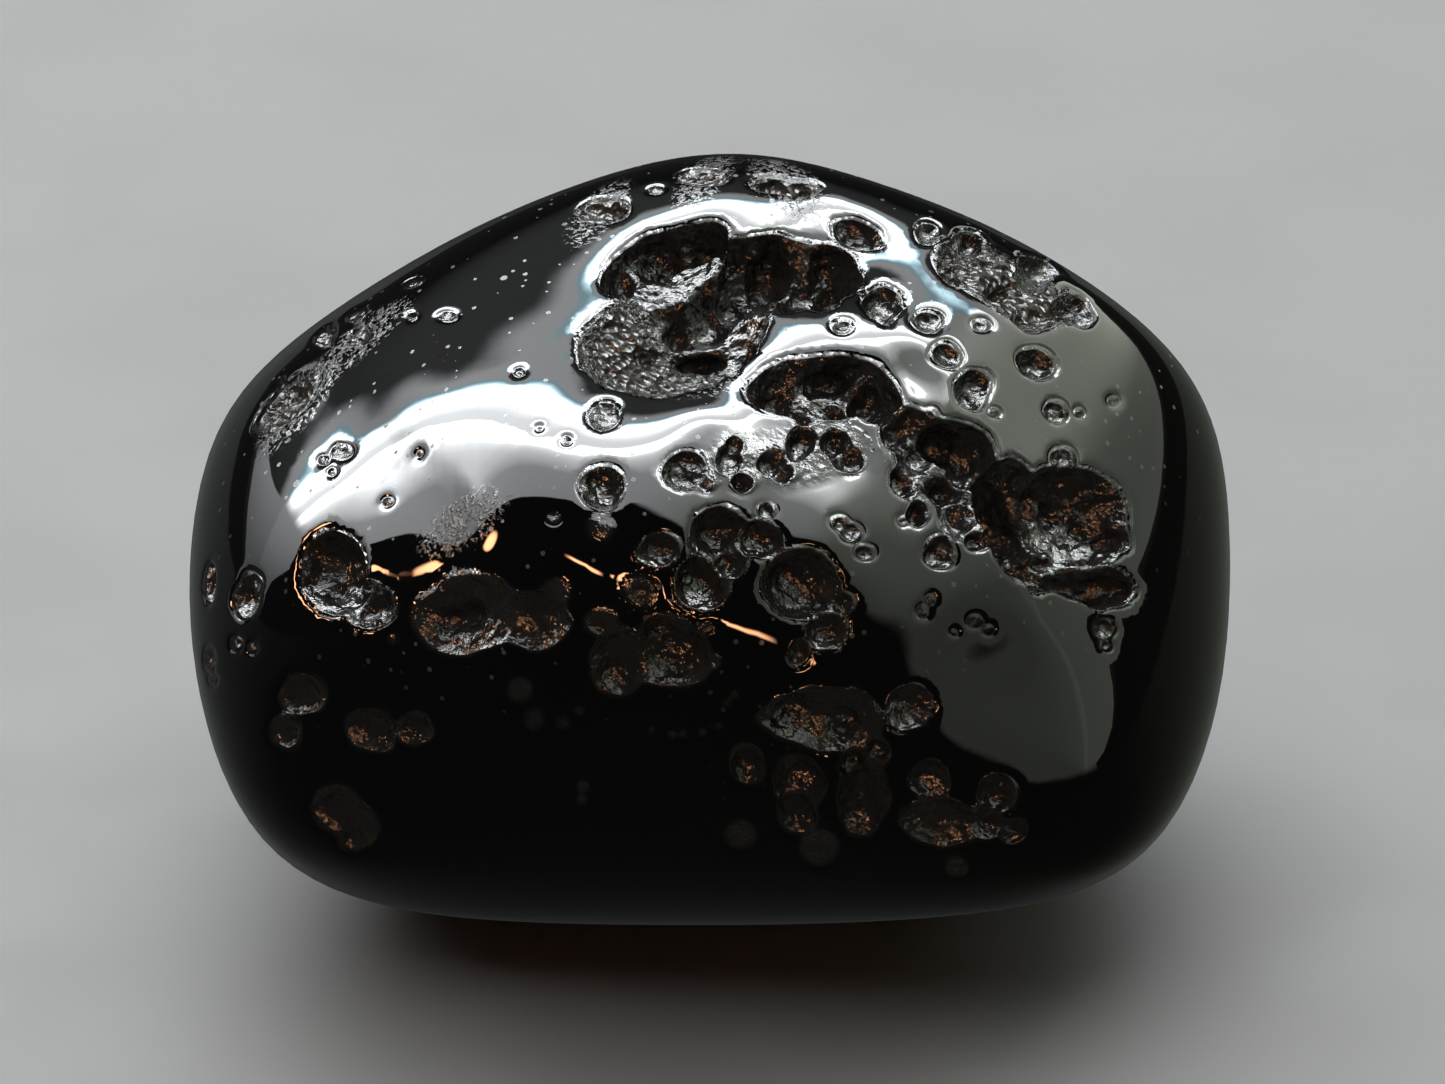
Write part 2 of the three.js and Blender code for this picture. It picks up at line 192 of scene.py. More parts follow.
BELLY_BOWLS = [
    (0.3, 0.0, 0.75, 0.7, 0, 0.8),
    (1.4, -0.1, 0.55, 0.5, 0, 0.6),
    (0.6, -0.65, 0.45, 0.45, 0, 0.7),
    (-0.05, -1.2, 0.65, 0.6, 0, 0.7),
    (2.4, -1.2, 0.95, 0.85, 0, 0.9),
    (3.05, -2.4, 0.5, 0.5, 0, 0.5),
    (3.4, -1.7, 0.28, 0.28, 0, 0.3),
    (2.3, -2.9, 0.33, 0.33, 0, 0.3),
    (-1.2, -0.3, 0.55, 0.45, 0, 0.4),
    (-1.65, -1.4, 0.28, 0.28, 0, 0.2),
    (-2.65, 0.25, 0.4, 0.35, 0, 0.1),
    (-2.65, 1.25, 0.6, 0.55, 0, 0.5),
    (-2.55, 3.05, 0.37, 0.35, 0, 0.3),
    (1.55, 0.65, 0.22, 0.2, 0, 0.15),
    (-3.85, 0.45, 0.18, 0.15, 0, 0.08),
    (-3.85, -1.5, 0.3, 0.3, 0, 0.1),
]
LEFT_BOWLS = [
    (-9.45, -0.9, 0.8, 1.05, 0, 0.9),
    (-9.1, -1.1, 0.45, 0.6, 0, 1.05),
    (-8.5, -1.75, 0.62, 0.6, 0, 0.7),
    (-6.0, -2.0, 1.4, 1.05, 0, 0.6),
    (-6.3, -2.2, 0.7, 0.6, 0, 0.85),
    (-4.4, -2.2, 0.95, 0.75, 0, 0.5),
    (-2.2, -3.2, 0.75, 0.8, 0, 0.6),
    (-0.9, -3.0, 0.95, 0.85, 0, 0.7),
    (-1.1, -2.5, 0.3, 0.3, 0, 0.7),
    (-2.7, -2.2, 0.4, 0.35, 0, 0.2),
    (0.2, -3.2, 0.18, 0.18, 0, 0.12),
    (0.05, -2.3, 0.1, 0.1, 0, 0.08),
    (-9.15, 2.1, 0.25, 0.2, 0, 0.15),
    (-8.0, 0.88, 0.13, 0.1, 0, 0.1),
    (-7.2, 2.07, 0.07, 0.07, 0, 0.06),
    (-9.4, 1.6, 0.1, 0.1, 0, 0.08),
    (-3.5, 2.4, 0.1, 0.1, 0, 0.08),
    (-4.2, 2.7, 0.06, 0.06, 0, 0.05),
]
LOWER_RIGHT = [
    (1.0, -5.75, 0.5, 0.5, 0, 0.4),
    (2.9, -4.6, 1.6, 0.8, 0, 0.5),
    (2.2, -4.5, 0.6, 0.5, 0, 0.65),
    (3.5, -4.8, 0.55, 0.45, 0, 0.65),
    (2.3, -6.2, 0.65, 0.65, 0, 0.6),
    (2.2, -7.0, 0.5, 0.5, 0, 0.5),
    (2.8, -7.8, 0.5, 0.5, 0, 0.15),
    (3.9, -6.6, 0.65, 1.1, 0, 0.6),
    (3.7, -5.8, 0.4, 0.4, 0, 0.6),
    (4.3, -5.4, 0.35, 0.35, 0, 0.4),
    (5.1, -4.25, 0.55, 0.6, 0, 0.5),
    (5.6, -6.1, 0.55, 0.5, 0, 0.5),
    (5.9, -7.2, 0.95, 0.65, 0, 0.5),
    (7.3, -6.4, 0.5, 0.5, 0, 0.5),
    (7.0, -7.2, 0.5, 0.5, 0, 0.45),
    (7.7, -7.4, 0.4, 0.4, 0, 0.35),
    (6.2, -8.3, 0.3, 0.3, 0, 0.12),
    (0.85, -7.5, 0.4, 0.4, 0, 0.12),
    (-3.1, -6.3, 0.2, 0.2, 0, 0.15),
    (-3.15, -6.65, 0.15, 0.15, 0, 0.12),
    (0.7, -4.0, 0.12, 0.12, 0, 0.1),
    (0.5, -4.2, 0.1, 0.1, 0, 0.08),
]
LOWER_LEFT = [
    (-10.2, -4.0, 0.6, 0.5, 0, 0.4),
    (-10.6, -4.9, 0.45, 0.45, 0, 0.35),
    (-8.4, -4.9, 0.6, 0.6, 0, 0.4),
    (-7.3, -4.9, 0.45, 0.45, 0, 0.3),
    (-9.3, -6.9, 0.6, 0.6, 0, 0.4),
    (-8.8, -7.4, 0.55, 0.55, 0, 0.4),
    (-4.7, -3.9, 0.35, 0.3, 0, 0.12),
    (-4.3, -4.6, 0.3, 0.3, 0, 0.1),
    (-3.6, -4.7, 0.2, 0.2, 0, 0.08),
    (-11.6, -1.6, 0.3, 0.5, 0, 0.3),
    (-11.4, -1.1, 0.25, 0.3, 0, 0.25),
    (-12.5, -1.2, 0.15, 0.5, 0, 0.25),
    (-12.5, -3.1, 0.15, 0.3, 0, 0.2),
    (-11.8, -2.7, 0.15, 0.15, 0, 0.12),
    (-11.4, -2.8, 0.12, 0.12, 0, 0.1),
]
CROWN = [
    (-0.1, 9.0, 0.7, 0.22, 0, 0.25),
    (1.65, 8.85, 0.55, 0.2, 0, 0.45),
    (2.4, 8.75, 0.5, 0.2, 0, 0.4),
    (-2.6, 8.15, 0.65, 0.3, 0, 0.25),
    (-2.3, 8.25, 0.3, 0.2, 0, 0.35),
    (-1.3, 8.65, 0.2, 0.1, 0, 0.12),
    (-10.6, 3.3, 1.1, 0.4, 45, 0.25),
    (-10.3, 3.6, 0.4, 0.25, 45, 0.35),
    (-9.6, 5.0, 0.35, 0.2, 45, 0.25),
    (-8.7, 5.0, 0.35, 0.22, 20, 0.2),
    (-8.8, 5.55, 0.3, 0.12, 20, 0.15),
    (-7.4, 6.35, 0.25, 0.1, 20, 0.12),
    (-7.4, 5.5, 0.12, 0.1, 0, 0.08),
    (-6.5, 5.5, 0.25, 0.12, 0, 0.1),
    (-10.7, 3.75, 0.1, 0.2, 0, 0.1),
]
# The smallest pits, scattered over the skin.
PINPRICKS = [
    (2.0, 6.1, 0.15, 0.14, 0, 0.12), (2.7, 6.0, 0.17, 0.13, 20, 0.12), (6.0, 6.7, 0.18, 0.15, 0, 0.15),
    (6.4, 6.6, 0.15, 0.15, 0, 0.14), (8.0, 5.3, 0.18, 0.16, 0, 0.15), (8.6, 5.6, 0.14, 0.14, 0, 0.12),
    (-12.4, -3.6, 0.12, 0.12, 0, 0.10), (-8.75, 5.35, 0.14, 0.12, 0, 0.10), (-1.4, -4.9, 0.10, 0.10, 0, 0.10),
    (-0.9, -5.0, 0.12, 0.10, 0, 0.11), (-0.6, -5.0, 0.10, 0.10, 0, 0.10), (-0.1, -4.95, 0.11, 0.11, 0, 0.10),
    (0.3, -4.8, 0.11, 0.10, 0, 0.10), (-4.7, 4.1, 0.12, 0.10, 0, 0.10), (-9.6, 1.9, 0.13, 0.11, 0, 0.10),
    (4.9, 0.4, 0.12, 0.12, 0, 0.10), (5.6, -1.6, 0.12, 0.11, 0, 0.10), (9.3, 3.1, 0.12, 0.12, 0, 0.11),
    (-7.9, -2.6, 0.12, 0.11, 0, 0.10), (-3.2, -4.4, 0.13, 0.12, 0, 0.10), (7.2, 3.1, 0.14, 0.12, 0, 0.11),
]
SHEET_BOWLS = (
    GREAT_HOLLOW + AROUND_GREAT_HOLLOW + RIDGE_HOLLOW + GASH + RIGHT_SHOULDER + RIGHT_FACET
    + MIDDLE_DIMPLE + BELLY_BOWLS + LEFT_BOWLS + LOWER_RIGHT + LOWER_LEFT + CROWN + PINPRICKS
)

# Frosted patches on the sheet: across, up, half width, half height.
FROSTED_PATCHES = [
    (-1.0, 4.2, 1.5, 0.9), (-2.1, 5.0, 0.8, 1.3), (-6.1, 0.35, 1.0, 0.65), (7.6, 6.3, 2.0, 0.9),
    (0.0, 9.15, 0.7, 1.0), (1.9, 9.0, 0.9, 1.0), (-2.7, 8.2, 0.6, 1.0), (-10.3, 3.3, 0.7, 1.0),
    (-8.7, 4.95, 0.8, 0.6),
]

# Bowls on the sides that the sheet does not show: turn, rise, half width, half height, twist, depth.
FAR_BOWLS = [
    (150, 30, 1.3, 0.9, 20, 0.8), (161, 25, 0.9, 0.8, 0, 0.9), (156, 36, 0.7, 0.6, 0, 0.7),
    (143, 36, 0.6, 0.5, 0, 0.5), (-152, 12, 1.0, 0.8, -30, 0.7), (-145, 17, 0.7, 0.6, 0, 0.6),
    (-158, 19, 0.55, 0.5, 0, 0.5), (-170, 52, 0.8, 0.6, 10, 0.5), (-176, 46, 0.5, 0.5, 0, 0.4),
    (128, -6, 0.8, 0.7, 40, 0.6), (122, -13, 0.55, 0.5, 0, 0.5), (118, 22, 0.5, 0.45, 0, 0.4),
    (-118, 28, 0.7, 0.5, 30, 0.5), (-112, -18, 0.6, 0.5, 0, 0.45), (-165, -30, 0.7, 0.6, 0, 0.5),
    (150, -38, 0.6, 0.55, 0, 0.45),
]


def heading(turn, rise):
    """The unit vectors for turns from the front and rises from level, in degrees."""
    turn, rise = np.radians(turn), np.radians(rise)
    return np.stack([np.sin(turn) * np.cos(rise), -np.cos(turn) * np.cos(rise), np.sin(rise)], -1)


SHEET_ACROSS, SHEET_TOWARDS = np.array([1.0, 0, 0]), heading(0, SHEET_LEAN)
SHEET_UP = np.cross(SHEET_TOWARDS, SHEET_ACROSS)


def length(vectors):
    """The lengths of rows of vectors."""
    return np.linalg.norm(vectors, axis=-1)


def skin_radius(directions):
    """The distance from the stone's centre to its unpitted skin, for rows of unit vectors."""
    facets = np.array(FACETS, float)
    reach = directions @ (heading(facets[:, 0], facets[:, 1]) / facets[:, 2:]).T
    radius = (np.maximum(reach, 0) ** EDGE_SHARPNESS).sum(-1) ** (-1 / EDGE_SHARPNESS)
    for turn, rise, spread, depth in DIPS:
        chord_squared = 2 - 2 * directions @ heading(turn, rise)
        radius = radius - depth * np.exp(-chord_squared / math.radians(spread) ** 2)
    return radius


def skin_height(points):
    """How far points lie outside the unpitted skin."""
    distance = length(points)
    return distance - skin_radius(points / distance[..., None])


def slope(height, points):
    """The unit gradient of a height field at rows of points."""
    steps = SLOPE_STEP * np.eye(3)
    sides = [height(points + step) - height(points - step) for step in steps]
    gradient = np.stack(sides, -1)
    return gradient / length(gradient)[:, None]


# ---------------------------------------------------------------------------------------------------------
# Bubble bowls
# ---------------------------------------------------------------------------------------------------------

BOWL_CENTRE = 0.35         # height of a bowl's centre over the skin, as a share of its upright half axis
RIM_ROUNDING = 0.05        # how softly the skin turns over into a bowl, and one bowl into the next
BOWL_UNEVENNESS = 0.3      # how far a bowl strays from a true ellipsoid, as a share of its smallest half axis
LARGEST_STRAY = 0.16       # and at the most, in millimetres
# Places on the sheet where the rims are worn round: across, up, reach and how much softer they are.
WORN_RIMS = [
    (-6.3, -0.75, 1.1, 0.10), (-3.1, -0.9, 0.7, 0.08), (-1.9, -1.2, 0.8, 0.08), (-0.9, -2.0, 0.8, 0.06),
]
LATTICE = np.random.default_rng(5).uniform(-1, 1, (4099, 3))
LATTICE_STRIDES = (73, 1553, 12289)        # spread neighbouring cells over the whole lattice
LARGEST_EXPONENT = 60


def bowls_on_sheet(rows):
    """Places, normals and mouth axes of the bowls that are laid out on the sheet, and their depths."""
    rows = np.array(rows, float)
    station = SHEET_TOWARDS * STATION_DISTANCE
    sights = rows[:, :1] * SHEET_ACROSS + rows[:, 1:2] * SHEET_UP - station
    sights /= length(sights)[:, None]
    reach = np.full(len(rows), STATION_DISTANCE - BEFORE_THE_STONE)
    for _ in range(SIGHT_STEPS):
        reach += SIGHT_STRIDE * skin_height(station + sights * reach[:, None])
    places = station + sights * reach[:, None]
    normals = slope(skin_height, places)
    turn = np.radians(rows[:, 4:5])
    width_axes = (np.cos(turn) * SHEET_ACROSS + np.sin(turn) * SHEET_UP) * rows[:, 2:3]
    height_axes = (np.cos(turn) * SHEET_UP - np.sin(turn) * SHEET_ACROSS) * rows[:, 3:4]
    # The axes are laid on to the skin along the line of sight.
    facing = (sights * normals).sum(-1, keepdims=True)
    width_axes -= sights * (width_axes * normals).sum(-1, keepdims=True) / facing
    height_axes -= sights * (height_axes * normals).sum(-1, keepdims=True) / facing
    return places, normals, width_axes, height_axes, rows[:, 5]


def bowls_from_far(rows):
    """The same for the bowls given by turn and rise."""
    rows = np.array(rows, float)
    directions = heading(rows[:, 0], rows[:, 1])
    places = directions * skin_radius(directions)[:, None]
    normals = slope(skin_height, places)
    level = np.cross([0.0, 0, 1], normals)
    level /= length(level)[:, None]
    twist = np.radians(rows[:, 4:5])
    width_axes = np.cos(twist) * level + np.sin(twist) * np.cross(normals, level)
    height_axes = np.cross(normals, width_axes) * rows[:, 3:4]
    return places, normals, width_axes * rows[:, 2:3], height_axes, rows[:, 5]


def ellipsoids(places, normals, width_axes, height_axes, depths):
    """For each bowl its ellipsoid's centre, the matrix to the unit sphere, the half axes, and the largest."""
    widening = 1 / math.sqrt(1 - BOWL_CENTRE ** 2)
    upright = depths / (1 - BOWL_CENTRE)
    centres = places + normals * (BOWL_CENTRE * upright)[:, None]
    axes = np.stack([width_axes * widening, height_axes * widening, normals * upright[:, None]], -1)
    largest = np.linalg.norm(axes, axis=1).max(-1)
    return [(c, np.linalg.inv(a), a, r) for c, a, r in zip(centres, axes, largest)]


def drift(points, size):
    """Smooth random vectors with entries from -1 to 1, which change over about the given size."""
    cells = np.floor(points / size).astype(int)
    share = points / size - cells
    share = share * share * (3 - 2 * share)
    total = np.zeros_like(points)
    for corner in itertools.product((0, 1), repeat=3):
        weight = np.prod(np.where(corner, share, 1 - share), axis=-1)
        total += weight[:, None] * LATTICE[(cells + corner) @ LATTICE_STRIDES % len(LATTICE)]
    return total


def rim_rounding(points):
    """How softly the rims turn over at each point."""
    rounding = np.full(len(points), RIM_ROUNDING)
    on_front = points[:, 1] < 0
    for across, up, reach, softer in WORN_RIMS:
        offset = points - (across * SHEET_ACROSS + up * SHEET_UP)
        offset = offset - (offset @ SHEET_TOWARDS)[:, None] * SHEET_TOWARDS
        rounding += softer * np.exp(-(offset ** 2).sum(-1) / reach ** 2) * on_front
    return rounding


def near_bowls(points, cutters, factor, margin):
    """Each bowl with the numbers of the points within factor times its largest half axis and the margin."""
    order = np.argsort(points[:, 0])
    across = points[order, 0]
    for cutter in cutters:
        centre, reach = cutter[0], factor * cutter[3] + margin
        low, high = np.searchsorted(across, (centre[0] - reach, centre[0] + reach))
        near = order[low:high]
        near = near[np.abs(points[near, 1:] - centre[1:]).max(-1, initial=0) < reach]
        if len(near):
            yield cutter, near


def swelled(height, rounding):
    """The share of one surface in the soft union of them all."""
    return np.exp(np.clip(height / rounding, -LARGEST_EXPONENT, LARGEST_EXPONENT))


def solid_height(points, cutters):
    """How far points lie outside the finished stone: beyond its skin, in a bowl, or under its flat."""
    rounding = rim_rounding(points)
    total = swelled(skin_height(points), rounding)
    total += swelled(-CENTRE_HEIGHT - points[:, 2], rounding)
    # The walls of the bowls wander by coarse and by finer noise.
    unevenness = 0.7 * drift(points, 0.9) + 0.3 * drift(points, 0.4)
    for (centre, to_unit, axes, _), near in near_bowls(points, cutters, factor=1.15, margin=0.3):
        wandering = unevenness[near] * min(BOWL_UNEVENNESS * length(axes.T).min(), LARGEST_STRAY)
        unit = (points[near] + wandering - centre) @ to_unit.T
        radius = np.maximum(length(unit), 1e-6)
        steepness = length(unit @ to_unit) / radius
        total[near] += swelled((1 - radius) / steepness, rounding[near])
    return rounding * np.log(total)


# ---------------------------------------------------------------------------------------------------------
# The stone's mesh
# ---------------------------------------------------------------------------------------------------------

SETTLED = 0.002            # how near the surface a settled vertex lies
SETTLE_ROUNDS, SETTLE_STRIDE = 40, 0.9     # steps of settling at most, each this share of the height left
HOLLOW_FROM = 0.003        # how far below the skin a vertex counts as inside a bowl
LAY_BACK_ROUNDS, LONGEST_STRIDE = 4, 0.08  # steps that lay a relaxed mesh back, and the longest of them
GENTLEST_SLOPE = 0.2       # the squared slope that a step is still reckoned with
LONGEST_EDGE = 0.45
SHORTEST_EDGE = 0.048
BOWL_EDGE = 0.17           # the edge wanted in a bowl, as a share of its middle half axis
LONGEST_BOWL_EDGE = 0.15
EDGE_GROWTH = 0.45         # how fast the wanted edge grows with the distance from a bowl
GROWTH_FROM = 0.08         # the distance from which it grows
RIM_REACH = 0.06           # how near two surfaces lie to each other at a rim
RIM_EDGE = 0.6             # the edge wanted on a rim, as a share of its neighbours'
SPLIT_OVER = 1.4           # an edge is split when it is longer than wanted by this much
REFINEMENTS, RELAXINGS = 5, 2


def points_of(mesh):
    """The places of a mesh's vertices, one to a row."""
    points = np.empty(len(mesh.vertices) * 3)
    mesh.vertices.foreach_get("co", points)
    return points.reshape(-1, 3)


def settle(stone, cutters):
    """Draws every vertex in or out along its line from the centre until it lies on the stone's surface."""
    points = points_of(stone.data)
    directions = points / length(points)[:, None]
    reach = skin_radius(directions)
    active = np.arange(len(reach))
    for _ in range(SETTLE_ROUNDS):
        height = solid_height(directions[active] * reach[active, None], cutters)
        reach[active] -= SETTLE_STRIDE * height
        active = active[np.abs(height) > SETTLED]
        if len(active) == 0:
            break
    stone.data.vertices.foreach_set("co", (directions * reach[:, None]).ravel())
    stone.data.update()


def relax(stone, cutters):
    """Evens out the mesh on the steep walls of the bowls, then lays it back along the surface's slope."""
    mesh = stone.data
    hollow = skin_height(points_of(mesh)) < -HOLLOW_FROM
    mesh.vertices.foreach_set("select", hollow)
    mesh.edges.foreach_set("select", np.zeros(len(mesh.edges), bool))
    mesh.polygons.foreach_set("select", np.zeros(len(mesh.polygons), bool))
    bpy.context.tool_settings.mesh_select_mode = (True, False, False)
    bpy.ops.object.mode_set(mode="EDIT")
    bpy.ops.mesh.vertices_smooth(factor=0.5, repeat=2)
    bpy.ops.object.mode_set(mode="OBJECT")
    points = points_of(mesh)
    moving = np.flatnonzero(hollow)
    for _ in range(LAY_BACK_ROUNDS):
        here = points[moving]
        height = solid_height(here, cutters)
        sides = [solid_height(here + step, cutters) - height for step in SLOPE_STEP * np.eye(3)]
        gradient = np.stack(sides, -1) / SLOPE_STEP
        stride = height / np.maximum((gradient ** 2).sum(-1), GENTLEST_SLOPE)
        stride = np.clip(stride, -LONGEST_STRIDE, LONGEST_STRIDE)
        points[moving] = here - stride[:, None] * gradient
    mesh.vertices.foreach_set("co", points.ravel())
    mesh.update()


def wanted_edge(points, cutters):
    """The longest edge wanted at each point: short in and near a bowl, shortest on the rims."""
    wanted = np.full(len(points), LONGEST_EDGE)
    surfaces = (np.abs(skin_height(points)) < RIM_REACH).astype(int)
    for (centre, to_unit, axes, _), near in near_bowls(points, cutters, factor=1.0, margin=1.5):
        unit = (points[near] - centre) @ to_unit.T
        radius = np.maximum(length(unit), 1e-6)
        outside = (radius - 1) / (length(unit @ to_unit) / radius)
        surfaces[near] += np.abs(outside) < RIM_REACH
        middle_axis = np.sort(np.linalg.norm(axes, axis=0))[1]
        in_bowl = np.clip(BOWL_EDGE * middle_axis, SHORTEST_EDGE, LONGEST_BOWL_EDGE)
        wanted[near] = np.minimum(wanted[near], in_bowl + EDGE_GROWTH * np.maximum(outside - GROWTH_FROM, 0))
    return np.where(surfaces > 1, np.maximum(RIM_EDGE * wanted, SHORTEST_EDGE), wanted)


def refine(stone, cutters):
    """Splits the edges that are longer than is wanted where they lie."""
    mesh = stone.data
    points = points_of(mesh)
    ends = np.empty(len(mesh.edges) * 2, int)
    mesh.edges.foreach_get("vertices", ends)
    start, end = points[ends[0::2]], points[ends[1::2]]
    long = length(end - start) > SPLIT_OVER * wanted_edge((start + end) / 2, cutters)
    mesh.vertices.foreach_set("select", np.zeros(len(mesh.vertices), bool))
    mesh.polygons.foreach_set("select", np.zeros(len(mesh.polygons), bool))
    mesh.edges.foreach_set("select", long)
    bpy.context.tool_settings.mesh_select_mode = (False, True, False)
    bpy.ops.object.mode_set(mode="EDIT")
    bpy.ops.mesh.subdivide(number_cuts=1)
    bpy.ops.mesh.select_all(action="SELECT")
    bpy.ops.mesh.quads_convert_to_tris(quad_method="SHORTEST_DIAGONAL", ngon_method="BEAUTY")
    bpy.ops.mesh.beautify_fill()
    bpy.ops.mesh.vertices_smooth(factor=0.5, repeat=1)
    bpy.ops.object.mode_set(mode="OBJECT")


# ---------------------------------------------------------------------------------------------------------
# The walls of the hollows
# ---------------------------------------------------------------------------------------------------------

WALL_STARTS, WALL_RAMP = 0.04, 0.15        # the depth where the crumpling begins, and that it grows over
MELT_LUMPS = (0.5, 0.22, 0.5)              # size, height, middle level
ETCHED_SCALLOPS = (0.3, 0.07, 0.4)
UNDERSIDE = 0.02                           # the flat underside reaches this high and is polished
FROST_REACH = 2.5                          # a frosted patch ends by this far from its middle


def mark_hollows(stone):
    """Stores how deep each vertex lies below the skin, in millimetres, and how frosted it is."""
    points = points_of(stone.data)
    depth = np.clip(-skin_height(points), 0, None)
    depth[points[:, 2] < UNDERSIDE - CENTRE_HEIGHT] = 0
    attribute = stone.data.attributes.new("hollow_depth", "FLOAT", "POINT")
    attribute.data.foreach_set("value", depth)
    patches = np.array([row + (0, 0) for row in FROSTED_PATCHES])
    places, _, width_axes, height_axes, _ = bowls_on_sheet(patches)
    frost = np.zeros(len(points))
    for place, width_axis, height_axis in zip(places, width_axes, height_axes):
        offset = points - place
        spread = (offset @ width_axis / (width_axis @ width_axis)) ** 2
        spread += (offset @ height_axis / (height_axis @ height_axis)) ** 2
        spread += (length(offset) / FROST_REACH) ** 2
        frost = np.maximum(frost, np.exp(-spread))
    attribute = stone.data.attributes.new("frost", "FLOAT", "POINT")
    attribute.data.foreach_set("value", frost)


def crumple_hollows(stone):
    """Melt lumps and etched scallops on the walls of the bowls, finer than the bowls themselves."""
    depth = np.empty(len(stone.data.vertices))
    stone.data.attributes["hollow_depth"].data.foreach_get("value", depth)
    share = np.clip((depth - WALL_STARTS) / WALL_RAMP, 0, 1)
    walls = stone.vertex_groups.new(name="bowl_walls")
    for vertex in np.flatnonzero(share):
        walls.add([int(vertex)], share[vertex], "REPLACE")
    lumps = bpy.data.textures.new("melt_lumps", "CLOUDS")
    lumps.noise_depth = 2
    scallops = bpy.data.textures.new("etched_scallops", "VORONOI")
    for texture, (size, amount, level) in ((lumps, MELT_LUMPS), (scallops, ETCHED_SCALLOPS)):
        texture.noise_scale = size
        bpy.ops.object.modifier_add(type="DISPLACE")
        displace = stone.modifiers[-1]
        displace.texture = texture
        displace.vertex_group = "bowl_walls"
        displace.strength, displace.mid_level = amount, level
        bpy.ops.object.modifier_apply(modifier=displace.name)


# ---------------------------------------------------------------------------------------------------------
# The whole stone
# ---------------------------------------------------------------------------------------------------------

def seat_in_frame(stone):
    """Turns millimetres into metres, lays the stone where the frame has it and gives its centre there."""
    points = points_of(stone.data)
    low, high = (np.array(corner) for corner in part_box("tektite"))
    middle = (points.min(0) + points.max(0)) / 2
    shift = np.array([(low[0] + high[0]) / 2, (low[1] + high[1]) / 2, low[2]])
    shift -= np.array([middle[0], middle[1], -CENTRE_HEIGHT]) * MM
    points = points * MM + shift
    points[:, 2] = np.maximum(points[:, 2], low[2])
    stone.data.vertices.foreach_set("co", points.ravel())
    stone.data.update()
    return Vector(shift)


def make_stone():
    """The whole stone: a geodesic sphere drawn on to its surface and refined where the bowls need it."""
    cutters = ellipsoids(*bowls_on_sheet(SHEET_BOWLS)) + ellipsoids(*bowls_from_far(FAR_BOWLS))
    bpy.ops.object.select_all(action="DESELECT")
    bpy.ops.mesh.primitive_ico_sphere_add(subdivisions=6, radius=CENTRE_HEIGHT)
    stone = bpy.context.object
    stone.name = "tumbled_stone"
    settle(stone, cutters)
    for _ in range(REFINEMENTS):
        refine(stone, cutters)
        settle(stone, cutters)
    for _ in range(RELAXINGS):
        relax(stone, cutters)
    mark_hollows(stone)
    crumple_hollows(stone)
    centre = seat_in_frame(stone)
    bpy.ops.object.shade_smooth()
    return stone, centre


# ---------------------------------------------------------------------------------------------------------
# Materials
# ---------------------------------------------------------------------------------------------------------

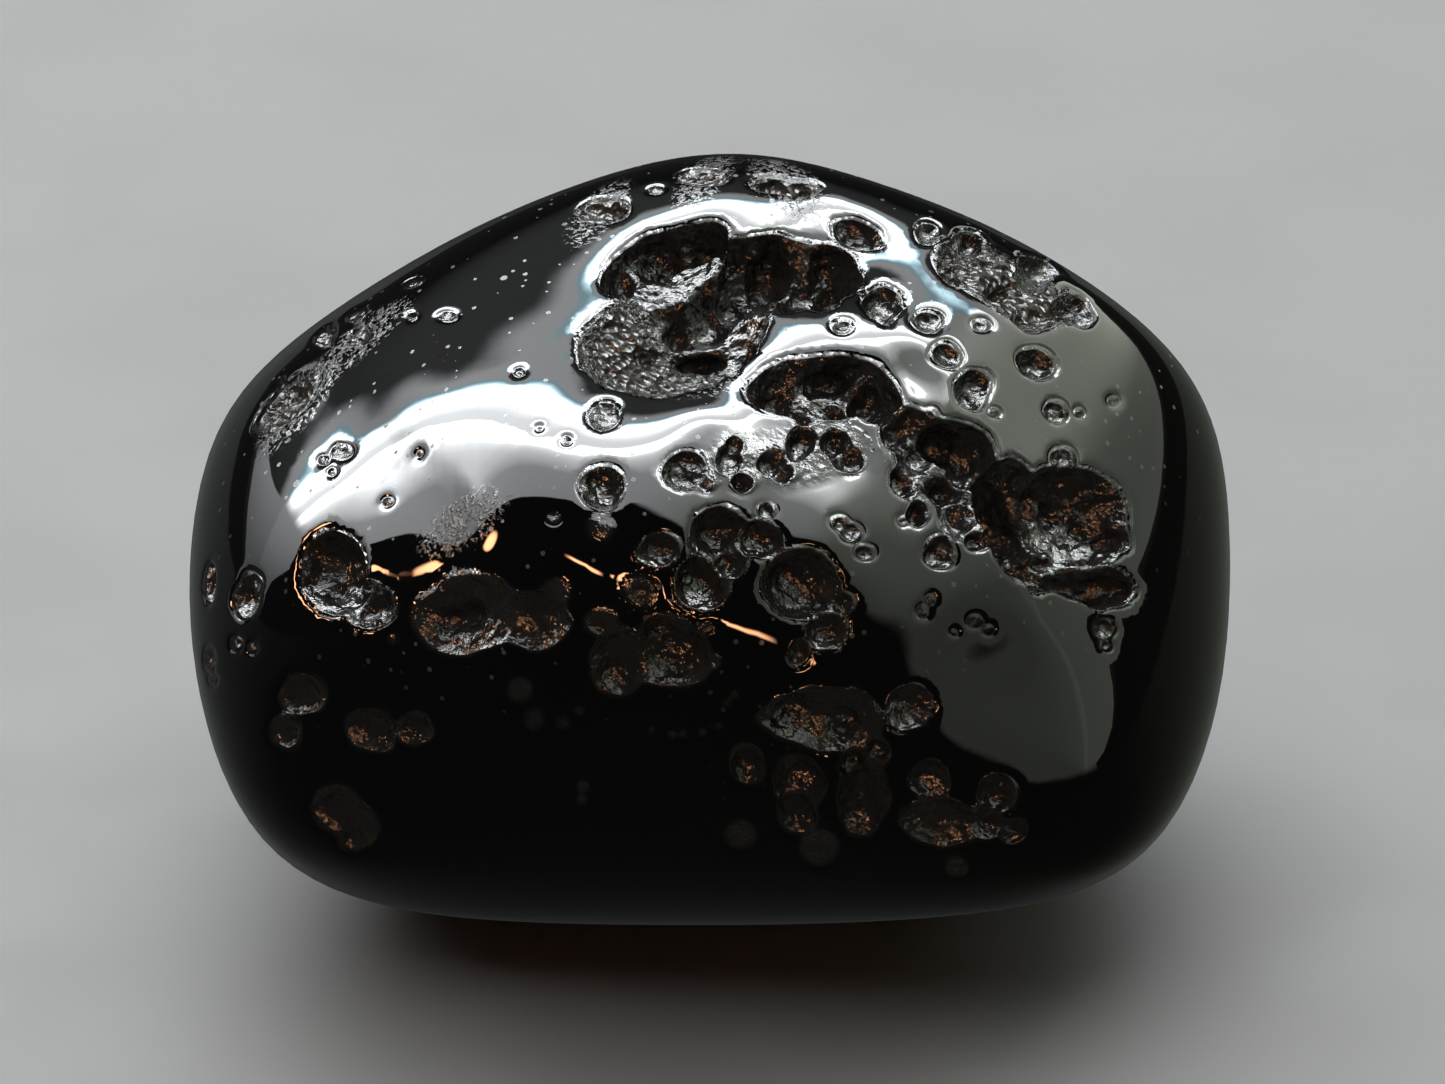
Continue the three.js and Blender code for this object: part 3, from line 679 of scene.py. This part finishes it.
class Nodes:
    """A short way to write the nodes of a material or of the room."""

    def __init__(self, name=None, tree=None):
        if tree is None:
            self.material = bpy.data.materials.new(name)
            self.material.use_nodes = True
            tree = self.material.node_tree
        self.tree = tree
        self.shader = tree.nodes.get("Principled BSDF")
        self.place = self.add("ShaderNodeTexCoord").outputs["Object"]

    def add(self, kind, inputs=None, **settings):
        """A new node with its settings; an input is a value or the output of another node."""
        node = self.tree.nodes.new(kind)
        for name, value in settings.items():
            setattr(node, name, value)
        for socket, value in (inputs or {}).items():
            self.set(node.inputs[socket], value)
        return node

    def set(self, socket, value):
        if isinstance(value, bpy.types.NodeSocket):
            self.tree.links.new(value, socket)
        else:
            socket.default_value = value

    def noise(self, size_mm, detail=2.0, roughness=0.5):
        """Noise between 0 and 1 with blotches about size_mm across."""
        inputs = {"Vector": self.place, "Scale": 1 / (size_mm * MM), "Detail": detail, "Roughness": roughness}
        return self.add("ShaderNodeTexNoise", inputs).outputs["Fac"]

    def cells(self, size_mm):
        """The distance to the middle of round cells about size_mm across, in cells."""
        inputs = {"Vector": self.place, "Scale": 1 / (size_mm * MM)}
        return self.add("ShaderNodeTexVoronoi", inputs).outputs["Distance"]

    def specks(self, spacing_mm, size_mm, share):
        """1 in small scattered dots of several sizes, 0 elsewhere."""
        node = self.add("ShaderNodeTexVoronoi", {"Vector": self.place, "Scale": 1 / (spacing_mm * MM)})
        chance = self.add("ShaderNodeSeparateColor", {0: node.outputs["Color"]}).outputs[0]
        radius = self.ramp(chance, 1 - share, 1.0, 0.0, size_mm / spacing_mm)
        inside = self.less(radius, node.outputs["Distance"])
        return self.ramp(inside, 0.0, 0.2 * size_mm / spacing_mm)

    def ramp(self, value, low, high, to_low=0.0, to_high=1.0):
        """Maps low..high to to_low..to_high, smoothly and without overshoot."""
        inputs = {"Value": value, 1: low, 2: high, 3: to_low, 4: to_high}
        return self.add("ShaderNodeMapRange", inputs, interpolation_type="SMOOTHSTEP").outputs[0]

    def profile(self, value, stops):
        """A level that runs straight between the stops (value, level); levels may be above 1."""
        most = max(level for _, level in stops)
        node = self.add("ShaderNodeValToRGB", {"Fac": value})
        elements = node.color_ramp.elements
        for position, _ in stops[2:]:
            elements.new(position)
        for element, (position, level) in zip(elements, stops):
            element.position = position
            element.color = (level / most, level / most, level / most, 1)
        return self.times(node.outputs["Color"], most)

    def math(self, operation, first, second=0.5):
        return self.add("ShaderNodeMath", {0: first, 1: second}, operation=operation).outputs[0]

    def times(self, first, second):
        return self.math("MULTIPLY", first, second)

    def plus(self, first, second):
        return self.math("ADD", first, second)

    def less(self, first, second):
        return self.math("SUBTRACT", first, second)

    def mix_colour(self, factor, first, second):
        node = self.add("ShaderNodeMix", data_type="RGBA")
        self.set(node.inputs["Factor"], factor)
        self.set(node.inputs["A"], first)
        self.set(node.inputs["B"], second)
        return node.outputs["Result"]

    def bump(self, height, distance_mm):
        """The surface's direction where a height between 0 and 1 stands for the given distance."""
        inputs = {"Height": height, "Distance": distance_mm * MM, "Strength": 1.0}
        return self.add("ShaderNodeBump", inputs).outputs["Normal"]


BLACK_GLASS = (0.003, 0.003, 0.0033, 1)
ETCHED_WALL = (0.032, 0.030, 0.027, 1)
# Brown patches in the bowls: partly a brown film, partly painted glow of light shining through thin glass.
BROWN_FILM_AND_GLOW = (0.046, 0.034, 0.023, 1)
FROSTED_SKIN = (0.10, 0.090, 0.078, 1)
PALE_DUST = (0.30, 0.30, 0.29, 1)
GLASS_IOR = 1.5
WALL_DEPTHS = (0.02, 0.12)                 # depths over which the polish goes over into the etched wall
DUST_HEIGHTS = (9 * MM, 14 * MM)           # the belly is nearly clean and the crown is dusty
POLISH_ROUGHNESS = (0.006, 0.025)
ETCHED_ROUGHNESS = (0.09, 0.25)
FROSTED_ROUGHER, DUST_ROUGHER = 0.16, 0.4  # what frosting and dust add to the roughness
LUMP_SIZE, BUBBLE_SIZE, GRAIN_SIZE = 0.5, 0.24, 0.09
GRAIN_SHARE = 0.16                         # the grains' height against the lumps'
ETCHED_RELIEF = 0.15                       # how high the etched relief stands, in millimetres
TABLE_TONES = ((0.50, 0.50, 0.49, 1), (0.54, 0.54, 0.53, 1))


def tektite_glass():
    """Black natural glass: polished on the worn skin, etched and sparkling inside the bubble bowls."""
    nodes = Nodes("tektite_glass")
    depth = nodes.add("ShaderNodeAttribute", attribute_name="hollow_depth").outputs["Fac"]
    frost = nodes.add("ShaderNodeAttribute", attribute_name="frost").outputs["Fac"]
    in_bowl = nodes.ramp(depth, *WALL_DEPTHS)
    on_skin = nodes.less(1.0, in_bowl)
    patchy = nodes.ramp(nodes.noise(0.13, detail=3.0), 0.38, 0.60)
    frosted = nodes.ramp(nodes.times(frost, nodes.plus(patchy, in_bowl)), 0.25, 0.80)
    etched = nodes.math("MAXIMUM", in_bowl, frosted)
    # Where the brown patches lie in the etched walls: partly a brown film, partly painted glow of light
    # through thin glass.
    film_and_glow = nodes.times(etched, nodes.ramp(nodes.noise(0.5, detail=3.0), 0.58, 0.72))
    height_up = nodes.add("ShaderNodeSeparateXYZ", {0: nodes.place}).outputs["Z"]
    dusty = nodes.ramp(nodes.noise(5.0), 0.35, 0.65, 0.3, 1.0)
    dusty = nodes.times(dusty, nodes.ramp(height_up, *DUST_HEIGHTS, 0.03, 1.0))
    dust = nodes.math("MAXIMUM", nodes.specks(0.30, 0.075, 0.6), nodes.specks(1.0, 0.11, 0.35))
    dust = nodes.times(nodes.times(dust, dusty), on_skin)

    colour = nodes.mix_colour(etched, BLACK_GLASS, ETCHED_WALL)
    colour = nodes.mix_colour(film_and_glow, colour, BROWN_FILM_AND_GLOW)
    colour = nodes.mix_colour(frosted, colour, FROSTED_SKIN)
    colour = nodes.mix_colour(dust, colour, PALE_DUST)
    nodes.set(nodes.shader.inputs["Base Color"], colour)

    polish = nodes.ramp(nodes.noise(1.1, detail=1.0), 0.3, 0.7, *POLISH_ROUGHNESS)
    etching = nodes.ramp(nodes.noise(0.4), 0.35, 0.65, *ETCHED_ROUGHNESS)
    roughness = nodes.add("ShaderNodeMix", {0: etched, 2: polish, 3: etching}, data_type="FLOAT").outputs[0]
    roughness = nodes.plus(roughness, nodes.times(nodes.times(frosted, on_skin), FROSTED_ROUGHER))
    roughness = nodes.plus(roughness, nodes.times(dust, DUST_ROUGHER))
    nodes.set(nodes.shader.inputs["Roughness"], roughness)
    nodes.shader.inputs["IOR"].default_value = GLASS_IOR

    lumps = nodes.noise(LUMP_SIZE, roughness=0.4)
    grains = nodes.noise(GRAIN_SIZE, detail=1.0)
    bubbles = nodes.times(nodes.cells(BUBBLE_SIZE), nodes.plus(0.25, frosted))
    height = nodes.times(nodes.plus(lumps, bubbles), in_bowl)
    height = nodes.plus(height, nodes.times(grains, nodes.times(etched, GRAIN_SHARE)))
    nodes.set(nodes.shader.inputs["Normal"], nodes.bump(height, ETCHED_RELIEF))
    return nodes.material


def table_top():
    """A pale board with a faint mottle."""
    nodes = Nodes("table_top")
    mottle = nodes.ramp(nodes.noise(9.0, detail=4.0), 0.3, 0.7)
    nodes.set(nodes.shader.inputs["Base Color"], nodes.mix_colour(mottle, *TABLE_TONES))
    nodes.set(nodes.shader.inputs["Roughness"], nodes.ramp(mottle, 0.0, 1.0, 0.6, 0.7))
    return nodes.material


# ---------------------------------------------------------------------------------------------------------
# Studio
# ---------------------------------------------------------------------------------------------------------

TABLE_SIZE = 3.0
SENSOR_WIDTH = 36
FRAME_WIDTH = 36.125 * MM      # width of the view where the stone's centre is
VIEW_RIGHT = 0.3625 * MM       # the view's middle lies this far right of the stone's centre
VIEW_BELOW = 0.15 * MM         # and this far below it

PANEL_PLACE = Vector((-0.15, 0.10, 0.60))      # from the stone's centre, in metres
PANEL_SIZE = (1.2, 1.0)
PANEL_RADIANCE = 0.8

TUBE_TURN = -18.7              # the way that the tubes and the ceiling run, from the way across
# Distances back from overhead, as shares of the ceiling's height.
CEILING_FRONT, CEILING_BACK = -0.054, 0.971
# The light of the two tubes along the way back: place and radiance above the ceiling's own.
TUBES = [
    (0.00, 0.0), (0.25, 0.0), (0.30, 1.9), (0.34, 3.5), (0.37, 4.5), (0.395, 5.8), (0.42, 7.6), (0.445, 11.0),
    (0.463, 24.0), (0.545, 24.0), (0.558, 8.2), (0.61, 8.4), (0.65, 12.0), (0.69, 19.0), (0.71, 24.0),
    (0.795, 24.0), (0.825, 4.0), (0.835, 0.0),
]
FRINGE = (0.800, 0.812, 0.840, 0.860)      # the bluish edge behind the rear tube
# The warm light of far lamps, seen as thin streaks: the way across the streak, its middle and half width
# along that way, where it starts and stops from left to right, and its radiance.
WARM_STREAKS = [
    ((0.546, 0.303, 0.781), 0.06, 0.036, (-0.42, -0.30, -0.13, -0.04), 48.0),
    ((0.546, 0.303, 0.781), 0.10, 0.028, (0.05, 0.10, 0.12, 0.17), 40.0),
    ((0.600, 0.303, 0.740), 0.11, 0.036, (0.22, 0.28, 0.33, 0.38), 48.0),
    ((0.546, 0.303, 0.781), 0.13, 0.026, (0.42, 0.46, 0.49, 0.53), 40.0),
]
WARM_PATCH = ((-0.93, 0.10, 0.35), 0.075, 40.0)    # the way to it, its reach in radians and its radiance
WARM_LIGHT = (1.0, 0.46, 0.22, 1)
LEFT_LIGHT, RIGHT_LIGHT = (0.95, 0.98, 1.0, 1), (0.93, 1.0, 0.84, 1)
FRINGE_LIGHT = (0.60, 0.87, 1.0, 1)
RIGHT_SIDE = 0.922             # from +X, in radians: on this side the ceiling goes on in front
FAINT_LIGHT = 0.03             # from all round


def make_camera(centre):
    """The camera stands at the sheet's station point."""
    across, up, towards = Vector(SHEET_ACROSS), Vector(SHEET_UP), Vector(SHEET_TOWARDS)
    data = bpy.data.cameras.new("camera")
    data.sensor_width = SENSOR_WIDTH
    data.lens = data.sensor_width * STATION_DISTANCE * MM / FRAME_WIDTH
    data.clip_start, data.clip_end = 0.01, 10
    camera = bpy.data.objects.new("camera", data)
    bpy.context.scene.collection.objects.link(camera)
    camera.location = centre + towards * STATION_DISTANCE * MM + across * VIEW_RIGHT - up * VIEW_BELOW
    camera.rotation_euler = Matrix((across, up, towards)).transposed().to_euler()
    bpy.context.scene.camera = camera


def make_table():
    """A plain pale table, kept out of the stone's mirror so that its belly stays black."""
    bpy.ops.object.select_all(action="DESELECT")
    bpy.ops.mesh.primitive_plane_add(size=TABLE_SIZE)
    table = bpy.context.object
    table.name = "table"
    table.data.materials.append(table_top())
    table.visible_glossy = False


def make_lights(centre):
    """One large soft lamp overhead. It lights the table and the pits; the glass mirrors the room instead."""
    data = bpy.data.lights.new("ceiling", "AREA")
    data.shape = "RECTANGLE"
    data.size, data.size_y = PANEL_SIZE
    data.energy = PANEL_RADIANCE * math.pi * PANEL_SIZE[0] * PANEL_SIZE[1]
    panel = bpy.data.objects.new("ceiling", data)
    bpy.context.scene.collection.objects.link(panel)
    panel.location = centre + PANEL_PLACE
    panel.rotation_euler = PANEL_PLACE.to_track_quat("Z", "Y").to_euler()
    panel.visible_camera = False
    panel.visible_glossy = False


def make_world():
    """The room that the glass mirrors: a soft ceiling, two bright tubes and soft walls left and right."""
    world = bpy.data.worlds.new("studio")
    world.use_nodes = True
    bpy.context.scene.world = world
    nodes = Nodes(tree=world.node_tree)
    times, plus, ramp = nodes.times, nodes.plus, nodes.ramp
    way = nodes.add("ShaderNodeTexCoord").outputs["Generated"]

    def along(vector):
        node = nodes.add("ShaderNodeVectorMath", {0: way, 1: vector}, operation="DOT_PRODUCT")
        return node.outputs["Value"]

    def step(value, edge, softness=0.02):
        return ramp(value, edge - softness / 2, edge + softness / 2)

    def absolute(value):
        return nodes.math("ABSOLUTE", value)

    def largest(first, second):
        return nodes.math("MAXIMUM", first, second)

    # The place on the ceiling that a way leads to: along the tubes and back, in ceiling heights.
    turn = math.radians(TUBE_TURN)
    rise = along((0, 0, 1))
    reach = largest(rise, 0.02)
    across = nodes.math("DIVIDE", along((math.cos(turn), math.sin(turn), 0)), reach)
    back = nodes.math("DIVIDE", along((-math.sin(turn), math.cos(turn), 0)), reach)

    # The ceiling: brightest left of the middle, greyer to the right, and ending in front and behind.
    ceiling = plus(ramp(across, -3.5, -1.5, 3.0, 4.4), ramp(across, 0.0, 1.3, 0.0, -3.3))
    ceiling = plus(ceiling, ramp(across, 1.3, 3.5, 0.0, -0.45))
    ceiling = times(ceiling, ramp(back, -1.5, 0.5, 0.7, 1.0))
    far_right = times(ramp(across, 0.4, 0.8), ramp(across, 1.4, 2.4, 1.0, 0.15))
    ceiling = plus(ceiling, times(times(far_right, ramp(back, 0.3, 0.8)), 2.0))
    ceiling = times(ceiling, ramp(back, 0.82, 0.87, 1.0, 0.8))
    ceiling = times(ceiling, largest(ramp(rise, 0.06, 0.34, 0.28, 1.0), ramp(across, -3.0, -2.0)))
    on_right = step(along((math.cos(RIGHT_SIDE), math.sin(RIGHT_SIDE), 0)), 0.0, 0.06)
    front_edge = largest(step(back, CEILING_FRONT), on_right)
    rear_limit = plus(ramp(across, 0.4, 1.0, 0.0, 3.5), ramp(across, -4.0, -3.2, 1.5, 0.0))
    beyond = nodes.less(back, plus(rear_limit, CEILING_BACK))
    rear_edge = plus(ramp(beyond, -0.09, 0.01, 0.92, 0.0), ramp(beyond, -0.09, 0.9, 0.08, 0.0))
    ceiling = times(times(ceiling, times(front_edge, rear_edge)), ramp(rise, -0.01, 0.03))

    # The two tubes, and the little light that comes from below.
    tube_ends = times(ramp(across, -3.3, -2.6), ramp(across, 0.55, 0.75, 1.0, 0.0))
    tubes = times(times(nodes.profile(back, TUBES), tube_ends), ramp(rise, 0.02, 0.06))
    below = times(ramp(along((0, 1, 0)), -0.2, 0.8, 0.0, 0.11), ramp(rise, -0.01, 0.01, 1.0, 0.0))
    below = plus(times(below, ramp(absolute(along((1, 0, 0))), 0.05, 0.35)), FAINT_LIGHT)
    white = plus(plus(ceiling, tubes), below)
    fringe = times(ramp(back, FRINGE[0], FRINGE[1]), ramp(back, FRINGE[2], FRINGE[3], 1.0, 0.0))
    colour = nodes.mix_colour(ramp(across, 0.2, 1.2), LEFT_LIGHT, RIGHT_LIGHT)
    colour = nodes.mix_colour(times(fringe, tube_ends), colour, FRINGE_LIGHT)

    # The warm lamps.
    warm = 0.0
    for way_across, middle, half_width, ends, radiance in WARM_STREAKS:
        offset = absolute(nodes.less(along(way_across), middle))
        streak = ramp(offset, 0.1 * half_width, half_width, radiance, 0.0)
        streak = times(streak, ramp(along((1, 0, 0)), ends[0], ends[1]))
        streak = times(streak, ramp(along((1, 0, 0)), ends[2], ends[3], 1.0, 0.0))
        warm = plus(warm, times(streak, ramp(along((0, 1, 0)), -0.5, -0.3, 1.0, 0.0)))
    patch_way, patch_reach, radiance = WARM_PATCH
    patch_edge, patch_core = math.cos(patch_reach), math.cos(0.5 * patch_reach)
    patch = ramp(along(Vector(patch_way).normalized()), patch_edge, patch_core, 0.0, radiance)
    warm = plus(warm, patch)
    share = nodes.math("DIVIDE", warm, largest(plus(warm, white), 0.001))
    background = nodes.tree.nodes["Background"]
    nodes.set(background.inputs["Strength"], plus(white, warm))
    nodes.set(background.inputs["Color"], nodes.mix_colour(share, colour, WARM_LIGHT))
    world.cycles_visibility.diffuse = False


# ---------------------------------------------------------------------------------------------------------
# Putting it together
# ---------------------------------------------------------------------------------------------------------

stone, stone_centre = make_stone()
stone.data.materials.append(tektite_glass())
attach(stone, "root")
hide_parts("tektite")

make_table()
make_lights(stone_centre)
make_world()
make_camera(stone_centre)
bpy.context.scene.view_settings.view_transform = "Standard"
